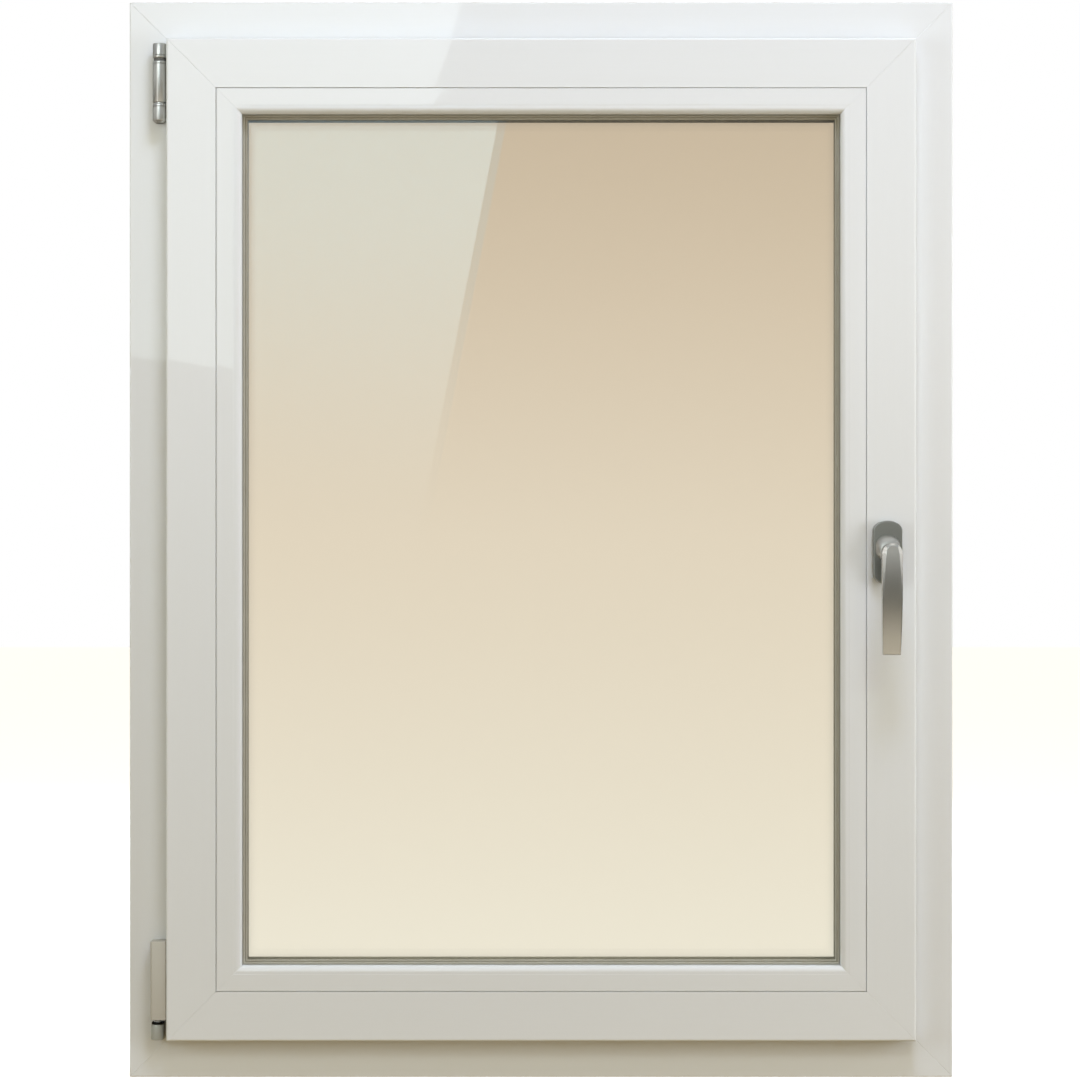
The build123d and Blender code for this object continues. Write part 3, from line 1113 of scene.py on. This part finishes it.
# The cover is a thin shell, open at its back and foot.
cover_foot = cover_low.z + 0.0012
cover_left_round = 0.0026
cover_right_round = 0.0012
cover_top_round = 0.0009
cover_shell = 0.0011
least_back_area = 0.0002
bm = bmesh.new()
outline(
    bm,
    [
        (cover_low.x, cover_high.y, 0),
        (cover_low.x, cover_low.y, cover_left_round),
        (cover_high.x, cover_low.y, cover_right_round),
        (cover_high.x, cover_high.y, 0),
    ],
    lambda a, b: Vector((a, b, cover_foot)),
)
extrude_faces(bm, bm.faces[:], up * (cover_high.z - cover_foot))
merge(bm)
top_face = max(bm.faces, key=lambda f: f.calc_center_median().z)
round_edges(bm, list(top_face.edges), cover_top_round)
face_outwards(bm)
open_faces = [
    f
    for f in bm.faces
    if f.normal.z < -0.9 or (f.normal.y > 0.9 and f.calc_area() > least_back_area)
]
bmesh.ops.delete(bm, geom=open_faces, context="FACES")
hinge_cover = finish_piece(
    bm, "hinge_cover", cover_metal, "bottom_hinge_cover"
)
wall = hinge_cover.modifiers.new("wall", "SOLIDIFY")
wall.thickness = cover_shell
wall.offset = -1
wall.use_even_offset = True


# Handle

spindle_low, spindle_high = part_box("handle_spindle")
handle_x = (spindle_low.x + spindle_high.x) / 2
handle_z = (spindle_low.z + spindle_high.z) / 2
lever_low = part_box("handle_lever")[0]
rosette_low, rosette_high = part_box("handle_rosette")
grip_bottom = lever_low.z + 0.0025
grip_top = handle_z + 0.0095
grip_half = 0.0105
grip_end_half = 0.0089
grip_thickness = 0.011
grip_front = 0.110
grip_end_front = 0.104
grip_bow = 0.0025
rosette_room = -rosette_low.y
facet_start = 0.002
facet_length = 0.060
facet_top = 0.0022
facet_wide = 0.0042
facet_narrow = 0.0012
facet_slope = 0.75
facet_edge = 0.0004


def handle_point(across, roomwards, above):
    """A point measured from the handle's axis."""
    return Vector((handle_x + across, -roomwards, handle_z + above))


# Rosette: a plate with arched ends and a thin shadow line near the sash.
rosette_half = (rosette_high.x - rosette_low.x) / 2
rosette_rise = (rosette_high.z - rosette_low.z) / 2
rosette_arch = 0.010


def rosette_plate(bm, back, front, grow, rim, segments):
    """A plate with arched ends between two faces, grown at its edge, with a rounded rim.
    Its outline is an ellipse whose halves are drawn apart."""
    plate = bmesh.new()
    spread = Matrix.Diagonal((rosette_half + grow, 1, rosette_arch + grow, 1))
    turn = Matrix.Rotation(quarter_turn, 4, "X")
    bmesh.ops.create_circle(
        plate,
        cap_ends=True,
        segments=96,
        radius=1,
        matrix=Matrix.Translation(handle_point(0, back, 0)) @ spread @ turn,
    )
    for sign in (-1, 1):
        half = [v for v in plate.verts if (v.co.z - handle_z) * sign > merge_distance]
        bmesh.ops.translate(plate, verts=half, vec=up * sign * (rosette_rise - rosette_arch))
    front_verts = set(extrude_faces(plate, plate.faces[:], room * (front - back)))
    face_outwards(plate)
    rim_edges = [
        e
        for e in plate.edges
        if all(v in front_verts for v in e.verts) and e.calc_face_angle(0) > rim_angle
    ]
    round_edges(plate, rim_edges, rim, segments)
    add_to(bm, plate)


shadow_line = sash_room + 0.0022
shadow_inset = 0.0005
shadow_rim = 0.0003
rosette_rim = 0.0016
bm = bmesh.new()
rosette_plate(bm, sash_room, shadow_line, -shadow_inset, shadow_rim, segments=1)
rosette_plate(bm, shadow_line, rosette_room, 0, rosette_rim, segments=4)
weigh_normals(
    finish_piece(bm, "rosette_plate", rosette_metal, "handle_rosette")
)


# Lever: a flat grip with an arched top, bowed towards the room, on a flared neck.

def grip_face(above):
    """How far the grip's front stands towards the room at a height from the axis."""
    share = (grip_top - handle_z - above) / (grip_top - grip_bottom)
    straight = grip_front + (grip_end_front - grip_front) * share
    return straight + 4 * grip_bow * share * (1 - share)


def grip_facet(above):
    """How wide the front's slanted edge is at a height from the axis."""
    if above > facet_start:
        share = (above - facet_start) / (grip_top - handle_z - facet_start)
        return facet_wide + (facet_top - facet_wide) * share
    share = min((facet_start - above) / facet_length, 1)
    return facet_narrow + (facet_wide - facet_narrow) * (1 - share) ** 2


def grip_side(above):
    """Half of the grip's width at a height from the axis: it narrows near its end."""
    share = min(max((grip_top - handle_z - above) / (grip_top - grip_bottom), 0), 1)
    return grip_half - (grip_half - grip_end_half) * share**3


def build_grip(bm):
    """A flat outline cut in slices, with facets along its rim, pulled back into a bow."""
    grip = bmesh.new()
    arch_centre = grip_top - grip_half
    bmesh.ops.create_circle(
        grip,
        cap_ends=True,
        segments=72,
        radius=grip_half,
        matrix=Matrix.Translation((handle_x, 0, arch_centre))
        @ Matrix.Rotation(quarter_turn, 4, "X"),
    )
    chord = cut(grip, (0, 0, arch_centre), (0, 0, -1))
    foot = verts_of(bmesh.ops.extrude_edge_only(grip, edges=chord)["geom"])
    bmesh.ops.translate(grip, verts=foot, vec=(0, 0, grip_bottom - arch_centre))
    slices = 24
    for index in range(1, slices):
        level = grip_bottom + (arch_centre - grip_bottom) * index / slices
        cut(grip, (0, 0, level), (0, 0, 1), keep_both=True)
    for vert in grip.verts:
        if vert.co.z < arch_centre:
            side = grip_side(vert.co.z - handle_z)
            vert.co.x = handle_x + (vert.co.x - handle_x) * side / grip_half
    bmesh.ops.inset_region(
        grip, faces=grip.faces[:], thickness=facet_edge, use_boundary=True, use_even_offset=True
    )
    rim = {v for v in grip.verts if v.is_boundary}
    for vert in grip.verts:
        if vert in rim:
            continue
        facet = grip_facet(vert.co.z - handle_z) - facet_edge
        across = vert.co.x - handle_x
        beyond = max(vert.co.z - arch_centre, 0)
        reach = math.hypot(across, beyond)
        if reach > facet:
            vert.co.x -= across / reach * facet
            vert.co.z -= beyond / reach * facet
    back = set(extrude_faces(grip, grip.faces[:], -room * grip_thickness))
    for vert in grip.verts:
        above = vert.co.z - handle_z
        vert.co.y -= grip_face(above)
        if vert in rim and vert not in back:
            vert.co.y += facet_slope * grip_facet(above)
    face_outwards(grip)
    add_to(bm, grip)


neck_base = rosette_room + 0.0005
neck_levels = 12
dome_depth = 0.016
dome_start = math.radians(28)
dome_end = math.radians(84)
dome_half = 0.0128
dome_top = 0.0178
dome_foot = -0.0085
stem_half = 0.0062
stem_top = 0.0070
stem_foot = -0.0060
stem_end = grip_front - grip_thickness * 0.45
neck_roundness = 0.88
lever_edge_round = 0.0005
collar_radius = 0.008
collar_back = sash_room + 0.0005
collar_front = rosette_room + 0.0008


def neck_section(bm, level, share):
    """One rounded section of the neck: the dome's foot at share 1, the stem at 0."""
    half = stem_half + (dome_half - stem_half) * share
    top = stem_top + (dome_top - stem_top) * share
    foot = stem_foot + (dome_foot - stem_foot) * share
    corner = half * neck_roundness
    before = set(bm.faces)
    outline(
        bm,
        [
            (-half, foot, corner),
            (half, foot, corner),
            (half, top, corner),
            (-half, top, corner),
        ],
        lambda a, b: handle_point(a, level, b),
    )
    return next(f for f in bm.faces if f not in before)


def build_neck(bm):
    """A low dome on the rosette that turns over into a stem behind the grip."""
    neck = bmesh.new()
    sections = []
    for index in range(neck_levels):
        turn = dome_start + (dome_end - dome_start) * index / (neck_levels - 1)
        level = neck_base + dome_depth * (math.sin(turn) - math.sin(dome_start))
        sections.append(neck_section(neck, level, math.cos(turn) / math.cos(dome_start)))
    sections.append(neck_section(neck, stem_end, 0))
    rings = [list(face.edges) for face in sections]
    bmesh.ops.delete(neck, geom=sections[1:-1], context="FACES_ONLY")
    for lower, upper in zip(rings, rings[1:]):
        bmesh.ops.bridge_loops(neck, edges=lower + upper)
    face_outwards(neck)
    add_to(bm, neck)


def build_collar(bm):
    """A round collar in the rosette, which the neck turns with."""
    collar = bmesh.new()
    bmesh.ops.create_cone(
        collar,
        cap_ends=True,
        segments=48,
        radius1=collar_radius,
        radius2=collar_radius,
        depth=collar_front - collar_back,
        matrix=Matrix.Translation(handle_point(0, (collar_front + collar_back) / 2, 0))
        @ Matrix.Rotation(quarter_turn, 4, "X"),
    )
    add_to(bm, collar)


bm = bmesh.new()
build_grip(bm)
build_neck(bm)
build_collar(bm)
lever = finish_piece(bm, "lever_handle", lever_metal, "handle_lever", "handle")
soften_edges(lever, lever_edge_round)
weigh_normals(lever)


# Drain covers on the sill's outside: a cap with a rounded rim. The three bars that each
# holds lie inside it and do not show.
cap_foot_round = 0.0020
cap_hood_round = 0.0045
cap_rim_round = 0.0010
bar_width = 0.008
bar_pitch = 0.0105
bar_foot = 0.0030
bar_top = 0.0042
bar_back = 0.0004
bar_front = 0.00005
bar_round = 0.0003
for side in ("left", "right"):
    node = "drain_cover_" + side
    low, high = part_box(node)
    bm = bmesh.new()
    outline(
        bm,
        [
            (low.x, low.z, cap_foot_round),
            (high.x, low.z, cap_foot_round),
            (high.x, high.z, cap_hood_round),
            (low.x, high.z, cap_hood_round),
        ],
        lambda a, b: Vector((a, low.y, b)),
    )
    extrude_faces(bm, bm.faces[:], Vector((0, high.y - low.y, 0)))
    merge(bm)
    face_outwards(bm)
    face = max(bm.faces, key=lambda f: f.calc_center_median().y)
    round_edges(bm, list(face.edges), cap_rim_round)
    for step in (-1, 0, 1):
        at = (low.x + high.x) / 2 + step * bar_pitch
        rounded_block(
            bm,
            (at - bar_width / 2, low.y + bar_back, low.z + bar_foot),
            (at + bar_width / 2, high.y - bar_front, low.z + bar_top),
            bar_round,
            segments=2,
        )
    weigh_normals(
        finish_piece(bm, "drain_cap_" + side, plastic_moulded, node)
    )


# CAD nodes that keep their shape and take a finished material.
kept_nodes = {
    "pane_outside": pane_glass,
    "pane_middle": pane_glass,
    "pane_room": pane_glass,
    "spacer_outside": spacer_bar,
    "spacer_room": spacer_bar,
    "edge_seal_outside": edge_butyl,
    "edge_seal_room": edge_butyl,
    "setting_blocks": block_plastic,
    "bottom_hinge_pin": pin_steel,
    "handle_spindle": pin_steel,
}
for node, material in kept_nodes.items():
    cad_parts[node].data.materials.clear()
    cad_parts[node].data.materials.append(material)


# Stage, lights and camera

def hide_from(obj, *rays):
    for ray in rays:
        setattr(obj, "visible_" + ray, False)


floor_half = 12
floor_material, _, floor_shader = new_material("pale_floor")
floor_shader.inputs["Base Color"].default_value = (0.9, 0.9, 0.89, 1)
floor_shader.inputs["Roughness"].default_value = 0.8
floor_shader.inputs["Emission Color"].default_value = (1, 1, 1, 1)
floor_shader.inputs["Emission Strength"].default_value = 0.75
bm = bmesh.new()
bmesh.ops.create_grid(bm, x_segments=1, y_segments=1, size=floor_half)
floor = new_object("floor", new_mesh("floor", bm, floor_material))
hide_from(floor, "transmission", "diffuse", "glossy")

camera_distance = 3.0
view_height = 1.1155
sensor = 36
camera_data = bpy.data.cameras.new("camera")
camera_data.sensor_width = sensor
camera_data.lens = sensor * camera_distance / view_height
camera = new_object("camera", camera_data)
camera_at = Vector((-0.0012, -frame_room - camera_distance, frame_height / 2 - 0.0003))
camera.location = camera_at
camera.rotation_euler = (quarter_turn, 0, 0)
bpy.context.scene.camera = camera


def area_light(name, at, aim, size, power, colour):
    """A soft lamp that lights the window but isn't seen itself."""
    data = bpy.data.lights.new(name, "AREA")
    data.shape = "RECTANGLE"
    data.size, data.size_y = size
    data.energy = power
    data.color = colour
    light = new_object(name, data)
    light.location = at
    direction = Vector(aim) - Vector(at)
    light.rotation_euler = direction.to_track_quat("-Z", "Y").to_euler()
    hide_from(light, "camera", "transmission", "glossy")


window_middle = (0, 0, frame_height / 2)
area_light("overhead", (0.35, -1.2, 2.8), (0, 0, 0.8), (0.9, 0.55), 37.5, (0.675, 0.765, 0.985))
area_light("key", (1.28, -2.6, 2.62), window_middle, (1.3, 0.25), 15, (0.95, 1, 0.9))
area_light("lock_side", (2.6, -1.0, 0.7), window_middle, (1.4, 1.4), 41.5, (0.81, 0.86, 0.94))
area_light("hinge_side", (-2.6, -1.4, 0.9), window_middle, (1.4, 1.4), 30, (0.76, 0.87, 0.95))
area_light("outside", (0.5, 2.8, 1.5), window_middle, (1.6, 1.6), 84, (0.80, 0.90, 1))


# Reflected panels: where their edges show is set by points of the photograph's frame.
image_size = 1080
metres_per_pixel = view_height / image_size
panel_room = 6.5


def reflected_point(pixel, mirror_room):
    """Where a panel's corner stands so that a flat mirror shows it at a pixel."""
    mirror_distance = -camera_at.y - mirror_room
    scale = mirror_distance / camera_distance
    offset_x = (pixel[0] - image_size / 2) * metres_per_pixel * scale
    offset_z = (image_size / 2 - pixel[1]) * metres_per_pixel * scale
    further = 1 + (panel_room - mirror_room) / mirror_distance
    x = camera_at.x + offset_x * further
    z = camera_at.z + offset_z * further
    return Vector((x, -panel_room, z))


def glow_panel(name, corners, colour, strength, fade=None, hidden=()):
    """A bright panel in the room that only shows as a reflection.
    Its share of the light may fade away between two heights."""
    material = bpy.data.materials.new(name)
    material.use_nodes = True
    tree = material.node_tree
    tree.nodes.clear()
    glow = add(tree, "ShaderNodeEmission", {"Color": (*colour, 1), "Strength": strength})
    output = add(tree, "ShaderNodeOutputMaterial")
    if fade:
        place = add(tree, "ShaderNodeTexCoord")
        split = add(tree, "ShaderNodeSeparateXYZ")
        join(tree, place, "Object", split, "Vector")
        span = {"From Min": fade[0], "From Max": fade[1]}
        share = add(tree, "ShaderNodeMapRange", span, interpolation_type="SMOOTHSTEP")
        join(tree, split, "Z", share, "Value")
        mix = add(tree, "ShaderNodeMixShader")
        join(tree, share, "Result", mix, 0)
        join(tree, add(tree, "ShaderNodeBsdfTransparent"), "BSDF", mix, 1)
        join(tree, glow, "Emission", mix, 2)
        join(tree, mix, "Shader", output, "Surface")
    else:
        join(tree, glow, "Emission", output, "Surface")
    shape = bmesh.new()
    shape.faces.new([shape.verts.new(corner) for corner in corners])
    panel = new_object(name, new_mesh(name, shape, material))
    hide_from(panel, "camera", "diffuse", "shadow", *hidden)


def mirrored_in(mirror_room, *pixels):
    return [reflected_point(pixel, mirror_room) for pixel in pixels]


def height_at(pixel_y):
    """The height on the panels that the glass shows at a pixel row."""
    return reflected_point((image_size / 2, pixel_y), glass_room).z


daylight = (0.59, 0.85, 1)
glow_panel(
    "plastic_panel",
    mirrored_in(
        sash_room,
        (-900, -700),
        (654, -700),
        (460, 2),
        (431, 107),
        (244, 107),
        (244, 371),
        (137, 357),
        (-900, 210),
    ),
    (0.90, 1, 1),
    2.75,
)
# The glass shows a broad panel with a slanted edge and a fainter strip beside it.
glass_fade = (height_at(565), height_at(125))
glass_left = 244
edge_top = (500.7, 106)
edge_foot = (400, 627)
strip_width = 8.5
glass_panels = (
    ("glass_panel", glass_left - edge_top[0], glass_left - edge_foot[0], 0, 1.88),
    ("glass_strip_panel", 0, 0, strip_width, 0.85),
)
for name, top_from, foot_from, to, strength in glass_panels:
    glow_panel(
        name,
        mirrored_in(
            glass_room,
            (edge_top[0] + top_from, edge_top[1]),
            (edge_top[0] + to, edge_top[1]),
            (edge_foot[0] + to, edge_foot[1]),
            (edge_foot[0] + foot_from, edge_foot[1]),
        ),
        daylight,
        strength,
        glass_fade,
    )


def upright_card(name, near, far, heights, strength, fade=None):
    """A bright upright card beside the window, for streaks on the metal."""
    foot, top = heights
    corners = [(*near, foot), (*far, foot), (*far, top), (*near, top)]
    glow_panel(name, corners, (1, 1, 0.98), strength, fade, hidden=["transmission"])


hinge_card_line = ((-0.72, -0.44), (-0.78, -0.70))
lock_card_line = ((1.15, -0.12), (1.15, -0.42))
upright_card("top_hinge_card", *hinge_card_line, (0.75, 1.4), 1.9)
upright_card("handle_left_card", *hinge_card_line, (0.33, 0.75), 1.25, (0.48, 0.70))
upright_card("handle_right_card", *lock_card_line, (0.1, 1.1), 1.3, (0.48, 0.65))
# A dim card: a painted dark reflection on the handle, not a bright streak.
upright_card("handle_dark_card", (-0.75, -0.02), (-0.75, -0.43), (0.36, 0.74), 0.06)
glow_panel(
    "handle_top_card",
    [(0.2, -0.30, 1.55), (0.76, -0.30, 1.55), (0.76, -0.52, 1.55), (0.2, -0.52, 1.55)],
    (1, 1, 0.98),
    1.35,
    hidden=["transmission"],
)


# World: white behind, a warm view through the glass, and a soft room around.
world = bpy.data.worlds.new("studio")
bpy.context.scene.world = world
world.use_nodes = True
sky = world.node_tree
sky.nodes.clear()
direction = add(sky, "ShaderNodeTexCoord")
parts = add(sky, "ShaderNodeSeparateXYZ")
join(sky, direction, "Generated", parts, "Vector")


def sky_ramp(low, high, part, stops):
    """Colours by one part of the direction looked along."""
    span = add(sky, "ShaderNodeMapRange", {"From Min": low, "From Max": high})
    join(sky, parts, part, span, "Value")
    ramp = add(sky, "ShaderNodeValToRGB")
    join(sky, span, "Result", ramp, "Fac")
    elements = ramp.color_ramp.elements
    elements[0].position, elements[0].color = stops[0][0], (*stops[0][1], 1)
    elements[1].position, elements[1].color = stops[-1][0], (*stops[-1][1], 1)
    for position, colour in stops[1:-1]:
        element = elements.new(position)
        element.color = (*colour, 1)
    return ramp


view_through = sky_ramp(
    -0.16,
    0.16,
    "Z",
    [
        (0, (0.94, 0.92, 0.81)),
        (0.5, (0.83, 0.77, 0.66)),
        (0.76, (0.71, 0.635, 0.525)),
        (1, (0.63, 0.555, 0.455)),
    ],
)
room_mirrored = sky_ramp(
    -1,
    1,
    "Z",
    [
        (0, (0.20, 0.18, 0.14)),
        (0.34, (0.90, 0.82, 0.66)),
        (0.385, (0.78, 0.71, 0.58)),
        (0.41, (0.36, 0.335, 0.275)),
        (0.43, (0.035, 0.034, 0.028)),
        (0.46, (0.05, 0.05, 0.04)),
        (0.485, (0.20, 0.204, 0.184)),
        (0.54, (1.0, 1.01, 0.98)),
        (0.60, (0.30, 0.31, 0.31)),
        (0.8, (0.60, 0.63, 0.65)),
        (1, (0.78, 0.80, 0.80)),
    ],
)
room_light = sky_ramp(-1, 1, "Z", [(0, (0.345, 0.255, 0.118)), (1, (0.31, 0.245, 0.12))])
rays = add(sky, "ShaderNodeLightPath")


def choose(ray, others, colour):
    """The colour for one kind of ray, over what the others see."""
    return mix_colours(sky, rays.outputs[ray], others, colour)


seen = room_mirrored.outputs["Color"]
seen = choose("Is Diffuse Ray", seen, room_light.outputs["Color"])
seen = choose("Is Transmission Ray", seen, view_through.outputs["Color"])
seen = choose("Is Camera Ray", seen, (1, 1, 1))
background = add(sky, "ShaderNodeBackground", {"Strength": 1.0})
sky.links.new(seen, background.inputs["Color"])
join(sky, background, "Background", add(sky, "ShaderNodeOutputWorld"), "Surface")

bpy.context.scene.view_settings.view_transform = "Standard"
bpy.context.scene.view_settings.look = "None"
